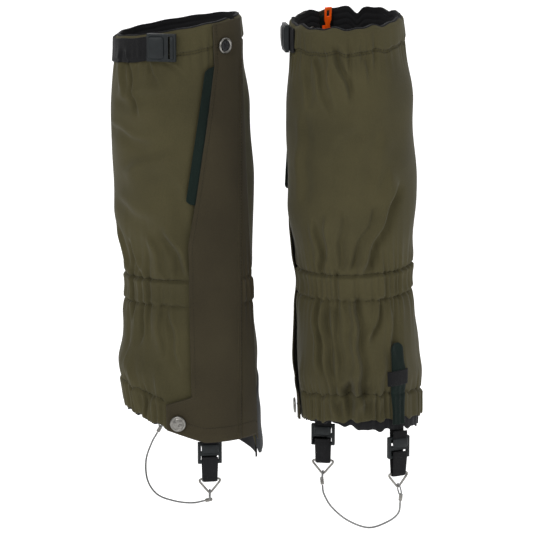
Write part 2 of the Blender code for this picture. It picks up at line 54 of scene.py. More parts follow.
# The leg surface, as in the part: height, half width, half depth, drift.
PROFILE = np.array([
    (0.020, 0.0595, 0.0530, -0.0050), (-0.020, 0.0620, 0.0555, -0.0050),
    (-0.085, 0.0690, 0.0620, -0.0035), (-0.180, 0.0695, 0.0635, 0.0005),
    (-0.235, 0.0635, 0.0575, 0.0030), (-0.262, 0.0600, 0.0545, 0.0030),
    (-0.290, 0.0645, 0.0580, 0.0035), (-0.335, 0.0680, 0.0605, 0.0045),
    (-0.385, 0.0660, 0.0590, 0.0065), (-0.440, 0.0650, 0.0580, 0.0075),
])
CLOSURE_TOP = np.array((0.0600, 0.0545, -0.0050))
CLOSURE_HEM = np.array((0.0670, 0.0600, 0.0060))
CLOSURE_LENGTH = 0.410
RIM_TILT = {"left": 0.010, "right": 0.004}
HEM_TILT = {"left": 0.022, "right": 0.009}
HEM_HEIGHT = -0.404
FLAP_HEM = -0.4085
HINGE_ANGLE, ZIP_ANGLE = 20.0, 27.0
FLAP_LIFT = 0.0042
FLAP_EDGE = ((0.0, 57.0), (0.10, 57.0), (0.52, 87.0), (0.895, 88.0), (0.935, 110.0), (1.0, 110.0))
RIGHT_PLACE, RIGHT_TURN, RIGHT_LEAN = (0.1600, 0.0, 0.0060), -95.0, -2.2
HEEL_FLARE = 0.0035
WAIST = -0.2600
WAIST_HALF = 0.0130
CUFF_BAND = 0.0235
HEM_BAND = 0.0270
STRAP_WIDTH = 0.016
BUCKLE_ANGLE = 103.0
TONGUE_ANGLE = 223.0
LOCK_DROP = 0.0060
TONGUE_TOP = -0.318
ZIP_END = -0.3900
TAPE_THICK = 0.0006
BAR_DROP, TIP_DROP = 0.038, 0.053
RING_HALF = 0.0125
BAR_BEND, TIP_BEND = 0.0055, 0.0030
STRAPS = {
    "left_lateral": ((0.0250, -0.0490, -0.4110), 80.0),
    "left_medial": ((-0.0260, 0.0350, -0.3560), 235.0),
    "right_lateral": ((0.1390, 0.0130, -0.4080), 100.0),
    "right_medial": ((0.2130, -0.0420, -0.4070), 62.0),
}
CABLE_ROUTES = {
    "left": (
        (-0.0300, 0.0350, -0.4225), (-0.0360, 0.0320, -0.4330), (-0.0415, 0.0240, -0.4490),
        (-0.0395, 0.0090, -0.4660), (-0.0290, -0.0060, -0.4770), (-0.0110, -0.0200, -0.4800),
        (0.0070, -0.0360, -0.4775), (0.0205, -0.0450, -0.4725),
    ),
    "right": (
        (0.1385, 0.0125, -0.4720), (0.1400, 0.0100, -0.4810), (0.1480, 0.0030, -0.4930),
        (0.1640, -0.0070, -0.5040), (0.1850, -0.0160, -0.5090), (0.2040, -0.0250, -0.5000),
        (0.2140, -0.0350, -0.4880), (0.2155, -0.0400, -0.4740),
    ),
}
CABLE_WIDE = 0.0018


def link(thing):
    bpy.context.scene.collection.objects.link(thing)


# ---------------------------------------------------------------- camera and light
def make_camera():
    elevation = math.radians(11.0)
    target = Vector((0.0815, 0.0, -0.243))
    data = bpy.data.cameras.new("camera")
    data.lens = 200.0
    data.sensor_width = 36.0
    distance = 0.533 * data.lens / data.sensor_width
    cam = bpy.data.objects.new("camera", data)
    cam.location = target + Vector((0.0, -math.cos(elevation), math.sin(elevation))) * distance
    cam.rotation_euler = (target - cam.location).to_track_quat("-Z", "Y").to_euler()
    data.clip_end = 20.0
    link(cam)
    bpy.context.scene.camera = cam


def area_light(name, place, aim, size, power):
    data = bpy.data.lights.new(name, "AREA")
    data.size = size
    data.energy = power
    lamp = bpy.data.objects.new(name, data)
    lamp.location = place
    lamp.rotation_euler = (Vector(aim) - Vector(place)).to_track_quat("-Z", "Y").to_euler()
    link(lamp)


def make_stage():
    """A floor below the hanging wires that curves up into a backdrop."""
    floor_z, back_y, radius = -0.62, 4.4, 0.9
    profile = [(-9.0, floor_z), (back_y - radius, floor_z)]
    for k in range(1, 13):
        turn = math.pi / 2 * k / 12
        profile.append((back_y - radius + radius * math.sin(turn), floor_z + radius * (1 - math.cos(turn))))
    profile.append((back_y, 3.2))
    points = [(x, y, z) for x in (-9.0, 9.0) for y, z in profile]
    n = len(profile)
    faces = [(i, i + 1, n + i + 1, n + i) for i in range(n - 1)]
    mesh = bpy.data.meshes.new("studio_sweep")
    mesh.from_pydata(points, [], faces)
    mesh.shade_smooth()
    sweep = bpy.data.objects.new("studio_sweep", mesh)
    link(sweep)
    paper = bpy.data.materials.new("studio_paper")
    paper.use_nodes = True
    shader = paper.node_tree.nodes["Principled BSDF"]
    shader.inputs["Base Color"].default_value = (0.93, 0.93, 0.93, 1.0)
    shader.inputs["Roughness"].default_value = 0.9
    shader.inputs["Emission Color"].default_value = (1.0, 1.0, 1.0, 1.0)
    shader.inputs["Emission Strength"].default_value = 0.45
    sweep.data.materials.append(paper)
    world = bpy.data.worlds.new("studio")
    world.use_nodes = True
    world.node_tree.nodes["Background"].inputs["Color"].default_value = (1.0, 1.0, 1.0, 1.0)
    world.node_tree.nodes["Background"].inputs["Strength"].default_value = 0.55
    bpy.context.scene.world = world
    bpy.context.scene.view_settings.view_transform = "Standard"
    centre = (0.08, 0.0, -0.22)
    area_light("key", (-1.2, -2.2, 1.5), centre, 1.4, 34.0)
    area_light("fill", (1.9, -1.8, 0.6), centre, 1.6, 9.0)
    area_light("top", (0.1, 0.5, 2.2), centre, 1.2, 14.0)


make_camera()
make_stage()


# ---------------------------------------------------------------- materials
def start_material(name):
    mat = bpy.data.materials.new(name)
    mat.use_nodes = True
    tree = mat.node_tree
    return mat, tree, tree.nodes["Principled BSDF"], tree.nodes.new("ShaderNodeTexCoord")


def noise(tree, place, scale, detail):
    made = tree.nodes.new("ShaderNodeTexNoise")
    made.inputs["Scale"].default_value = scale
    made.inputs["Detail"].default_value = detail
    tree.links.new(place, made.inputs["Vector"])
    return made.outputs["Fac"]


def scaled_sum(tree, value, factor, extra):
    made = tree.nodes.new("ShaderNodeMath")
    made.operation = "MULTIPLY_ADD"
    made.inputs[1].default_value = factor
    tree.links.new(value, made.inputs[0])
    tree.links.new(extra, made.inputs[2])
    return made.outputs[0]


def tinted(tree, shader, value, ends, colours):
    """Colour the surface from dark to light between two values."""
    ramp = tree.nodes.new("ShaderNodeValToRGB")
    for stop, end, colour in zip(ramp.color_ramp.elements, ends, colours):
        stop.position = end
        stop.color = (*colour, 1.0)
    tree.links.new(value, ramp.inputs["Fac"])
    tree.links.new(ramp.outputs["Color"], shader.inputs["Base Color"])


def embossed(tree, shader, value, strength, distance):
    bump = tree.nodes.new("ShaderNodeBump")
    bump.inputs["Strength"].default_value = strength
    bump.inputs["Distance"].default_value = distance
    tree.links.new(value, bump.inputs["Height"])
    tree.links.new(bump.outputs["Normal"], shader.inputs["Normal"])


def fabric(name, light, dark, weave, bump, roughness=0.85, space="UV"):
    """A woven cloth: fine crossing yarns, slubs and soft patches of colour."""
    mat, tree, shader, coords = start_material(name)
    patches = noise(tree, coords.outputs["Object"], 14.0, 5.0)
    slub = noise(tree, coords.outputs["Object"], 900.0, 2.0)
    cross = tree.nodes.new("ShaderNodeMath")
    cross.operation = "MULTIPLY"
    for index, direction in enumerate(("X", "Y")):
        wave = tree.nodes.new("ShaderNodeTexWave")
        wave.bands_direction = direction
        wave.inputs["Scale"].default_value = weave
        wave.inputs["Distortion"].default_value = 0.6
        wave.inputs["Detail"].default_value = 1.0
        tree.links.new(coords.outputs[space], wave.inputs["Vector"])
        tree.links.new(wave.outputs["Fac"], cross.inputs[index])
    yarn = scaled_sum(tree, cross.outputs[0], 0.35, slub)
    tinted(tree, shader, scaled_sum(tree, yarn, 0.45, patches), (0.38, 1.05), (dark, light))
    embossed(tree, shader, yarn, bump, 0.0004)
    shader.inputs["Roughness"].default_value = roughness
    shader.inputs["Sheen Weight"].default_value = 0.05
    shader.inputs["Sheen Roughness"].default_value = 0.5
    shader.inputs["Specular IOR Level"].default_value = 0.12
    return mat


def hard(name, light, dark, roughness, metallic, scale=160.0, bump=0.1):
    """Moulded plastic or plated wire, with fine grain and rubbed patches."""
    mat, tree, shader, coords = start_material(name)
    grain = noise(tree, coords.outputs["Object"], scale, 6.0)
    tinted(tree, shader, grain, (0.3, 0.75), (dark, light))
    rough = tree.nodes.new("ShaderNodeMapRange")
    rough.inputs["To Min"].default_value = roughness - 0.07
    rough.inputs["To Max"].default_value = roughness + 0.10
    tree.links.new(grain, rough.inputs["Value"])
    tree.links.new(rough.outputs["Result"], shader.inputs["Roughness"])
    embossed(tree, shader, grain, bump, 0.0002)
    shader.inputs["Metallic"].default_value = metallic
    if metallic < 0.5:
        shader.inputs["Specular IOR Level"].default_value = 0.22
    return mat


OLIVE = fabric("olive_cloth", (0.062, 0.054, 0.025), (0.034, 0.030, 0.014), 260.0, 0.35)
FLAP = fabric("flap_cloth", (0.040, 0.033, 0.018), (0.024, 0.019, 0.011), 260.0, 0.35)
LINING = fabric("lining_cloth", (0.016, 0.016, 0.017), (0.006, 0.006, 0.007), 380.0, 0.5, 0.9)
HEEL = fabric("heel_cloth", (0.040, 0.043, 0.045), (0.020, 0.022, 0.024), 220.0, 0.6, 0.75)
TAPE = fabric("tape_cloth", (0.008, 0.016, 0.013), (0.002, 0.005, 0.004), 500.0, 0.8, 0.95)
WEB = fabric("webbing_cloth", (0.011, 0.011, 0.012), (0.003, 0.003, 0.003), 190.0, 1.0, 0.85)
THREAD = fabric("thread", (0.022, 0.019, 0.010), (0.010, 0.009, 0.005), 900.0, 0.5, 0.8, space="Object")
DARK_THREAD = fabric(
    "dark_thread", (0.020, 0.020, 0.021), (0.008, 0.008, 0.009), 900.0, 0.5, 0.8, space="Object")
PLASTIC = hard("buckle_plastic", (0.012, 0.015, 0.016), (0.007, 0.009, 0.010), 0.46, 0.0)
ORANGE = hard("orange_plastic", (1.0, 0.130, 0.004), (0.88, 0.080, 0.0), 0.45, 0.0)
NICKEL = hard("nickel_plate", (0.30, 0.29, 0.27), (0.14, 0.135, 0.125), 0.30, 1.0, 260.0, 0.05)
STEEL = hard("steel_wire", (0.26, 0.26, 0.26), (0.10, 0.10, 0.10), 0.34, 1.0, 900.0, 0.3)
BLACK_ENAMEL = hard("black_enamel", (0.020, 0.020, 0.021), (0.008, 0.008, 0.009), 0.34, 0.0)


# ---------------------------------------------------------------- leg surface
def ease(share):
    share = np.clip(share, 0.0, 1.0)
    return share * share * (3.0 - 2.0 * share)


def profile_at(height):
    """The leg's section at each height, eased between the profile's rows."""
    rows = PROFILE[::-1]
    height = np.clip(height, rows[0, 0], rows[-1, 0])
    index = np.clip(np.searchsorted(rows[:, 0], height, side="right") - 1, 0, len(rows) - 2)
    low, high = rows[index], rows[index + 1]
    share = ease((height - low[..., 0]) / (high[..., 0] - low[..., 0]))[..., None]
    return low[..., 1:] + (high[..., 1:] - low[..., 1:]) * share


def closure_share(angle):
    turn = (angle + 180.0) % 360.0 - 180.0
    return ease(np.where(turn < 12.0, (turn + 14.0) / 26.0, (104.0 - turn) / 40.0))


def section_point(shape, angle, outward):
    radians = np.radians(angle)
    wide, deep, drift = shape[..., 0], shape[..., 1], shape[..., 2]
    nx, ny = np.cos(radians) / wide, -np.sin(radians) / deep
    size = np.hypot(nx, ny)
    x = drift + wide * np.cos(radians) + outward * nx / size
    y = -deep * np.sin(radians) + outward * ny / size
    return np.stack((x, y), axis=-1)


def wall(angle, height, outward):
    angle, height, outward = np.broadcast_arrays(angle, height, outward)
    free = section_point(profile_at(height), angle, outward)
    share = (-height / CLOSURE_LENGTH)[..., None]
    straight = section_point(CLOSURE_TOP + (CLOSURE_HEM - CLOSURE_TOP) * share, angle, outward)
    weight = closure_share(angle)[..., None]
    flat = free + (straight - free) * weight
    return np.concatenate((flat, height[..., None]), axis=-1)


def placement(side):
    if side == "left":
        return Matrix.Identity(4)
    mirror = Matrix.Scale(-1.0, 4, Vector((1.0, 0.0, 0.0)))
    turn = Matrix.Rotation(math.radians(RIGHT_TURN), 4, "Z")
    lean = Matrix.Rotation(math.radians(RIGHT_LEAN), 4, "Y")
    return Matrix.Translation(Vector(RIGHT_PLACE)) @ lean @ turn @ mirror


def placed(side, points):
    move = np.array(placement(side))
    return points @ move[:3, :3].T + move[:3, 3]


def bell(value, width):
    return np.exp(-(value / width) ** 2)


def rim(side, angle):
    level = RIM_TILT[side] * np.cos(np.radians(angle))
    if side == "right":
        level = level + 0.0011 * np.sin(np.radians(angle * 9.0))
        level = level + 0.0008 * np.sin(np.radians(angle * 17.0 + 40.0))
        return level - 0.0045 * bell((angle % 360.0) - 352.0, 5.0)
    return level + 0.0003 * np.sin(np.radians(angle * 13.0))


def hem_plain(side, angle):
    """The hem without its ruffles; on the left it runs level under the flap."""
    turn = angle % 360.0
    level = HEM_HEIGHT - HEM_TILT[side] * np.cos(np.radians(angle))
    under_flap = ease((turn - 12.0) / 14.0) * ease((130.0 - turn) / 20.0)
    return level + under_flap * np.maximum(0.0, FLAP_HEM - level)


def hem(side, angle):
    turn = angle % 360.0
    level = hem_plain(side, angle)
    gather = ease((turn - 104.0) / 14.0) * ease((330.0 - turn) / 40.0)
    ruffle = np.sin(np.radians(turn * 19.0)) + 0.6 * np.sin(np.radians(turn * 31.0 + 60.0))
    return level + gather * (0.0012 * ruffle + 0.0012)


def ripple(angle, seed, counts=(23.0, 37.0, 53.0)):
    """Uneven pleats round the leg: a few whole-number waves whose strength drifts."""
    radians = np.radians(angle)
    total = 0.0
    for k, count in enumerate(counts):
        drift = 0.55 + 0.45 * np.sin(radians * (3 + k) + seed * (1.7 + k))
        shift = seed * (2.3 + 1.9 * k) + 1.3 * np.sin(radians * 5 + seed)
        total = total + drift * np.sin(radians * count + shift)
    return total / len(counts)


CREASE_DEPTH = 1.55
# Creases: side, angle and height at both ends, half width and depth (metres, minus goes in).
CREASES = {
    "left": (
        (140.0, -0.028, 128.0, -0.078, 0.0040, -0.0030), (150.0, -0.030, 146.0, -0.060, 0.0060, 0.0022),
        (118.0, -0.034, 108.0, -0.050, 0.0040, -0.0016), (98.0, -0.034, 80.0, -0.046, 0.0030, -0.0016),
        (150.0, -0.075, 100.0, -0.062, 0.0090, -0.0020), (165.0, -0.098, 120.0, -0.112, 0.0080, -0.0022),
        (140.0, -0.140, 96.0, -0.120, 0.0110, 0.0020), (160.0, -0.175, 120.0, -0.190, 0.0120, -0.0020),
        (96.0, -0.150, 84.0, -0.205, 0.0090, -0.0022), (108.0, -0.200, 92.0, -0.240, 0.0070, -0.0038),
        (122.0, -0.205, 112.0, -0.243, 0.0060, 0.0024), (150.0, -0.215, 138.0, -0.243, 0.0060, -0.0024),
        (168.0, -0.205, 158.0, -0.244, 0.0070, 0.0022), (108.0, -0.278, 100.0, -0.330, 0.0050, -0.0024),
        (118.0, -0.276, 114.0, -0.318, 0.0050, 0.0020), (133.0, -0.278, 136.0, -0.310, 0.0050, -0.0020),
        (150.0, -0.280, 156.0, -0.335, 0.0070, -0.0018), (122.0, -0.345, 130.0, -0.378, 0.0080, -0.0024),
        (145.0, -0.330, 140.0, -0.376, 0.0080, 0.0020),
    ),
    "right": (
        (172.0, -0.024, 186.0, -0.066, 0.0045, -0.0034), (164.0, -0.026, 168.0, -0.062, 0.0040, 0.0022),
        (150.0, -0.030, 166.0, -0.080, 0.0050, -0.0022), (140.0, -0.028, 146.0, -0.075, 0.0060, -0.0020),
        (200.0, -0.026, 206.0, -0.052, 0.0060, -0.0014), (190.0, -0.100, 168.0, -0.135, 0.0110, -0.0018),
        (215.0, -0.110, 205.0, -0.170, 0.0110, 0.0018), (142.0, -0.090, 136.0, -0.170, 0.0100, -0.0020),
        (228.0, -0.165, 196.0, -0.240, 0.0070, -0.0044), (220.0, -0.150, 186.0, -0.238, 0.0090, 0.0026),
        (206.0, -0.180, 180.0, -0.242, 0.0060, -0.0030), (176.0, -0.185, 168.0, -0.244, 0.0060, -0.0026),
        (160.0, -0.190, 156.0, -0.244, 0.0060, 0.0024), (148.0, -0.195, 150.0, -0.244, 0.0050, -0.0028),
        (212.0, -0.274, 200.0, -0.310, 0.0050, -0.0036), (186.0, -0.274, 189.0, -0.380, 0.0055, -0.0042),
        (181.0, -0.274, 181.0, -0.385, 0.0060, 0.0022), (162.0, -0.274, 172.0, -0.380, 0.0060, -0.0030),
        (152.0, -0.274, 164.0, -0.388, 0.0050, -0.0036), (146.0, -0.276, 158.0, -0.360, 0.0050, 0.0022),
        (140.0, -0.276, 148.0, -0.340, 0.0050, -0.0026), (178.0, -0.352, 166.0, -0.376, 0.0070, -0.0040),
        (196.0, -0.362, 184.0, -0.380, 0.0070, 0.0026), (214.0, -0.330, 206.0, -0.385, 0.0080, -0.0018),
        (224.0, -0.276, 222.0, -0.330, 0.0060, -0.0022),
    ),
}


def pinched(wave):
    """Sharpen the valleys of a pleated wave, as stitched gathers do."""
    return 1.1 * wave - 0.55 * np.maximum(0.0, -wave - 0.15) ** 0.7


def crease_field(side, angle, height):
    across = 0.0011
    total = np.zeros_like(height)
    for a0, h0, a1, h1, width, depth in CREASES[side]:
        x, y = (angle - a0) * across, height - h0
        dx, dy = (a1 - a0) * across, h1 - h0
        length = math.hypot(dx, dy)
        along = (x * dx + y * dy) / length
        off = (x * dy - y * dx) / length
        off = off + 0.0014 * np.sin(along * 160.0 + a0)
        off = np.where(off > 0.0, off * 1.9, off)
        ends = ease((along + 0.012) / 0.020) * ease((length + 0.012 - along) / 0.020)
        shape = bell(off, width) - 0.45 * bell(off - 1.6 * width, width * 1.2)
        total = total + CREASE_DEPTH * depth * ends * shape
    return total


def relief(side, angle, height):
    """How far the outer cloth stands out from the plain leg surface."""
    turn = angle % 360.0
    from_rim = height - rim(side, angle)
    from_hem = height - hem(side, angle)
    seed = 1.0 if side == "left" else 2.4
    open_side = ease((turn - 78.0) / 22.0) * ease((366.0 - turn) / 20.0)
    cuff_line = from_rim + CUFF_BAND
    out = 0.0010 * ease((from_rim + CUFF_BAND) / 0.004) * ease(-from_rim / 0.003)
    out = out - 0.0011 * bell(cuff_line, 0.0014)
    strength = 0.55 if side == "left" else 1.0
    pleats = pinched(ripple(turn, seed))
    out = out + strength * 0.0019 * pleats * bell(cuff_line + 0.004, 0.016)
    band = height - WAIST
    inside = ease((WAIST_HALF - np.abs(band)) / 0.004)
    away = np.maximum(0.0, np.abs(band) - WAIST_HALF)
    waist = 0.0018 * inside - 0.0022 * bell(np.abs(band) - WAIST_HALF, 0.0013)
    spread = 0.0024 * inside + 0.0027 * np.exp(-away / 0.020) * (1 - inside)
    waist = waist + spread * pinched(ripple(turn + 60.0 * away, seed + 3.0))
    out = out + open_side * waist
    gather = ease((turn - 104.0) / 14.0) * ease((330.0 - turn) / 40.0)
    below = ease((HEM_BAND - from_hem) / 0.005)
    pleat = pinched(ripple(turn, seed + 5.0, (27.0, 41.0, 66.0)))
    hem_out = 0.0026 * below * pleat + 0.0014 * below
    hem_out = hem_out - 0.0014 * bell(from_hem - HEM_BAND, 0.0014)
    hem_out = hem_out + 0.0020 * pleat * np.exp(-np.maximum(0.0, from_hem - HEM_BAND) / 0.012) * (1 - below)
    hem_out = hem_out + 0.0030 * bell(from_hem - HEM_BAND - 0.018, 0.016)
    out = out + gather * hem_out
    radians = np.radians(turn)
    swell = np.sin(radians * 3 + height * 31 + seed) * np.sin(height * 47 + seed * 2)
    swell = swell + 0.5 * np.sin(radians * 7 - height * 63 + seed)
    out = out + 0.0010 * swell * open_side
    return out + crease_field(side, turn, height) * open_side


# ---------------------------------------------------------------- mesh making
def make_object(name, points, faces, mat, uv=None, smooth=True):
    mesh = bpy.data.meshes.new(name)
    mesh.from_pydata([tuple(p) for p in points], [], faces)
    if uv is not None:
        layer = mesh.uv_layers.new(name="cloth")
        index = np.empty(len(mesh.loops), dtype=np.int64)
        mesh.loops.foreach_get("vertex_index", index)
        layer.data.foreach_set("uv", np.asarray(uv, dtype=np.float32)[index].ravel())
    work = bmesh.new()
    work.from_mesh(mesh)
    bmesh.ops.recalc_face_normals(work, faces=work.faces)
    work.to_mesh(mesh)
    work.free()
    if smooth:
        mesh.shade_smooth()
    mesh.materials.append(mat)
    made = bpy.data.objects.new(name, mesh)
    link(made)
    return made


def slab(name, outer, inner, mat, uv, closed=False):
    """A sheet with thickness from two grids of points, columns by rows."""
    columns, rows = outer.shape[:2]
    grid = np.arange(columns * rows).reshape(columns, rows)
    if closed:
        grid = np.vstack((grid, grid[:1]))
    shift = columns * rows
    a, b = grid[:-1, :-1].ravel(), grid[1:, :-1].ravel()
    c, d = grid[1:, 1:].ravel(), grid[:-1, 1:].ravel()
    faces = np.concatenate((np.stack((a, b, c, d), 1), np.stack((d, c, b, a), 1) + shift))
    edges = []
    for line in (grid[:, 0], grid[::-1, -1]):
        p, q = line[:-1], line[1:]
        edges.append(np.stack((q, p, p + shift, q + shift), 1))
    if not closed:
        for line in (grid[0, ::-1], grid[-1]):
            p, q = line[:-1], line[1:]
            edges.append(np.stack((q, p, p + shift, q + shift), 1))
    faces = np.concatenate([faces] + edges).tolist()
    points = np.concatenate((outer.reshape(-1, 3), inner.reshape(-1, 3)))
    uv = np.concatenate((uv.reshape(-1, 2), uv.reshape(-1, 2)))
    return make_object(name, points, faces, mat, uv)


def cloth_sheet(side, name, angle, height, outward, thick, mat, closed=False):
    """A slab on the leg wall from grids of angle, height and outward distance."""
    outer = placed(side, wall(angle, height, outward))
    inner = placed(side, wall(angle, height, outward - thick))
    uv = np.stack((np.broadcast_to(angle * 0.0011, height.shape), height), axis=-1)
    return slab(name, outer, inner, mat, uv, closed)


def grid_of(columns, rows):
    return np.meshgrid(columns, rows, indexing="ij")


def row_shares(count, tight):
    """Row positions from 0 to 1, closer together near the places named."""
    fine = np.linspace(0.0, 1.0, 2000)
    weight = np.ones_like(fine)
    for place, gain in tight:
        weight += gain * bell(fine - place, 0.035)
    total = np.concatenate(([0.0], np.cumsum(weight[1:])))
    return np.interp(np.linspace(0.0, total[-1], count), total, fine)


def attach(piece, body, slot, *cad_nodes):
    """Fix a piece to its body and hide the CAD nodes it stands for."""
    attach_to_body(piece, body)
    if cad_nodes:
        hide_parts(*cad_nodes)


def node(side, name):
    return side + "_" + name


def outer_height(side, angle, share):
    return rim(side, angle) + (hem(side, angle) - rim(side, angle)) * share


def make_shell(side):
    angles = np.linspace(ZIP_ANGLE + 5.0, ZIP_ANGLE + 355.0, 380)
    shares = row_shares(250, ((0.0, 2.0), (0.06, 2.0), (0.635, 2.0), (0.95, 2.0)))
    angle, share = grid_of(angles, shares)
    height = outer_height(side, angle, share)
    lip = 0.0009 * bell(share, 0.004) + 0.0005 * bell(share - 1.0, 0.004)
    outward = 0.0008 + relief(side, angle, height) - lip
    piece = cloth_sheet(side, side + "_cloth_shell", angle, height, outward, 0.0008, OLIVE)
    attach(piece, side + "_gaiter", "olive_fabric", node(side, "shell"))


def make_lining(side):
    """Knitted elastic inside the cuff, ribbed round the leg."""
    angles = np.linspace(ZIP_ANGLE + 8.0, ZIP_ANGLE + 352.0, 260)
    shares = np.linspace(0.0, 1.0, 70)
    angle, share = grid_of(angles, shares)
    height = rim(side, angle) + 0.0012 - 0.0450 * share
    rib = 0.0011 * np.abs(np.sin(share * 45.0 / 6.2 * math.pi)) ** 0.6
    outward = -0.0005 - rib * ease(share / 0.05)
    outward = outward + 0.0005 * np.sin(np.radians(angle * 8.0)) * share - 0.0012 * bell(share, 0.02)
    dip = np.minimum(0.0, relief(side, angle, np.minimum(height, rim(side, angle))))
    outer = placed(side, wall(angle, height, dip - 0.0002))
    inner = placed(side, wall(angle, height, dip + outward - 0.0014))
    uv = np.stack((angle * 0.0011, height), axis=-1)
    piece = slab(side + "_ribbed_lining", outer, inner, LINING, uv)
    attach(piece, side + "_gaiter", "lining_fabric", node(side, "cuff_lining"))


def make_hem_lining(side):
    angles = np.linspace(112.0, 372.0, 220)
    shares = np.linspace(0.0, 1.0, 16)
    angle, share = grid_of(angles, shares)
    drop = 0.0090 * ease((angle - 150.0) / 50.0) + 0.0016
    height = hem(side, angle) + 0.010 - (0.010 + drop) * share
    outward = -0.0014 + 0.6 * relief(side, angle, height) * (1 - 0.3 * share)
    piece = cloth_sheet(side, side + "_hem_binding", angle, height, outward, 0.0010, LINING)
    attach(piece, side + "_gaiter", "lining_fabric", node(side, "hem_lining"))


def make_heel(side):
    angles = np.linspace(-62.0, 19.0, 100)
    shares = np.linspace(0.0, 1.0, 70)
    angle, share = grid_of(angles, shares)
    reach = np.maximum(0.0, np.cos(np.radians((angle + 18.0) * 1.7)))
    top = hem(side, angle) + 0.012 + 0.066 * reach
    height = top + (hem(side, angle) - 0.006 - top) * share
    edge = np.minimum(np.minimum(share, 1 - share) * 14, np.minimum(angle + 62.0, 19.0 - angle) / 6.0)
    outward = 0.0011 + 0.0011 * ease(edge) + 0.0005 * np.sin(height * 190.0) * bell(angle + 20.0, 30.0)
    outward = outward + relief(side, angle, height) * 0.9
    outward = outward + HEEL_FLARE * share ** 2 * bell(angle + 16.0, 34.0)
    piece = cloth_sheet(side, side + "_heel_patch", angle, height, outward, 0.0009, HEEL)
    attach(piece, side + "_gaiter", "heel_fabric", node(side, "heel_panel"))


def flap_edge(share):
    shares, angles = zip(*FLAP_EDGE)
    return np.interp(share, shares, angles)


def seam_angle(share):
    """Where the flap's straight upright seam runs: a line of constant width."""
    wide = CLOSURE_TOP[0] + (CLOSURE_HEM[0] - CLOSURE_TOP[0]) * share
    drift = CLOSURE_TOP[2] + (CLOSURE_HEM[2] - CLOSURE_TOP[2]) * share
    return np.degrees(np.arccos(np.clip((0.0515 - drift) / wide, -1.0, 1.0)))


def flap_height(side, angle, down):
    """The height a given share of the way down the flap."""
    return rim(side, angle) * (1 - down) + hem_plain(side, angle) * down


def flap_relief(angle, height, side):
    """The flap lies flat, with soft waves along its free edge."""
    seed = 0.7 if side == "left" else 1.9
    wave = 0.0006 * np.sin(height * 58.0 + seed) * ease((angle - 40.0) / 30.0)
    wave = wave + 0.0004 * np.sin(height * 25.0 + np.radians(angle) * 4.0 + seed)
    dent = -0.0012 * bell(height - WAIST, 0.018) * ease((angle - 50.0) / 30.0)
    band = height - rim(side, angle) + CUFF_BAND
    share = -height / CLOSURE_LENGTH
    seam = seam_angle(share)
    ridge = 0.0009 * bell(angle - seam, 2.2) - 0.0012 * bell(angle - seam + 2.6, 0.5)
    ridge = (ridge - 0.0006 * bell(angle - seam - 2.6, 0.4)) * ease((share - 0.02) / 0.1)
    behind = ease((seam - 1.5 - angle) / 3.0)
    level = height - WAIST
    inside = ease((WAIST_HALF - np.abs(level)) / 0.004)
    channel = 0.0012 * inside - 0.0013 * bell(np.abs(level) - WAIST_HALF, 0.0016)
    channel = channel + 0.0012 * np.sin(np.radians(angle * 55.0)) * np.exp(-np.abs(level) / 0.018)
    return wave + dent - 0.0005 * bell(band, 0.0012) + ridge + behind * channel


def flap_thread_out(side, angle, height):
    return FLAP_LIFT + 0.0009 + flap_relief(angle, height, side)


def make_flap(side):
    across = np.concatenate((np.linspace(0.0, 0.94, 110), np.linspace(0.945, 1.0, 10)))
    shares = row_shares(260, ((0.06, 1.0), (0.52, 1.0), (0.915, 3.0)))
    s, down = grid_of(across, shares)
    angle = HINGE_ANGLE + (flap_edge(down) - HINGE_ANGLE) * s
    height = flap_height(side, angle, down)
    turned_edge = 0.0005 * bell(1.0 - s, 0.05) - 0.0008 * bell(1.0 - s, 0.004)
    outward = FLAP_LIFT + 0.0008 + flap_relief(angle, height, side) + turned_edge
    outward = outward + 0.0014 * bell(down - 0.86, 0.04) * ease((s - 0.8) / 0.2)
    piece = cloth_sheet(side, side + "_storm_flap", angle, height, outward, 0.0010, FLAP)
    attach(piece, side + "_flap_panel", "flap_fabric", node(side, "flap"))


def make_tapes(side):
    shares = np.linspace(0.10, 0.42, 90)
    for name, low, high, lift in (("hook_tape", -9.0, 8.5, 0.0036), ("loop_tape", -9.0, 4.0, 0.0023)):
        turns = np.linspace(low, high, 22)
        turn, down = grid_of(turns, shares)
        edge = flap_edge(down)
        end = np.minimum(down - 0.10, 0.42 - down) / 0.012
        pull = np.clip(end, 0.0, 1.0)
        angle = edge + low + (turn - low) * (0.55 + 0.45 * np.sqrt(pull))
        height = flap_height(side, edge, down)
        if name == "loop_tape":
            stand = relief(side, angle, height) * 0.5
        else:
            stand = 0.0028 * ease(turn / 8.5) * (1.0 if side == "right" else 0.15)
        piece = cloth_sheet(side, f"{side}_{name}_strip", angle, height, lift + stand, TAPE_THICK, TAPE)
        body = side + ("_flap_panel" if name == "hook_tape" else "_gaiter")
        attach(piece, body, "tape_fabric", node(side, name))


for SIDE in ("left", "right"):
    make_shell(SIDE)
    make_lining(SIDE)
    make_hem_lining(SIDE)
    make_heel(SIDE)
    make_flap(SIDE)
    make_tapes(SIDE)

# ---------------------------------------------------------------- straps and hardware
def direction(side, angle, height):
    centre = Vector(placed(side, wall(angle, height, 0.0)).tolist())
    tip = Vector(placed(side, wall(angle, height, 0.01)).tolist())
    return centre, (tip - centre).normalized()


def evaluated(thing):
    """Apply a new piece's modifiers to its mesh."""
    graph = bpy.context.evaluated_depsgraph_get()
    mesh = bpy.data.meshes.new_from_object(thing.evaluated_get(graph))
    thing.modifiers.clear()
    thing.data = mesh


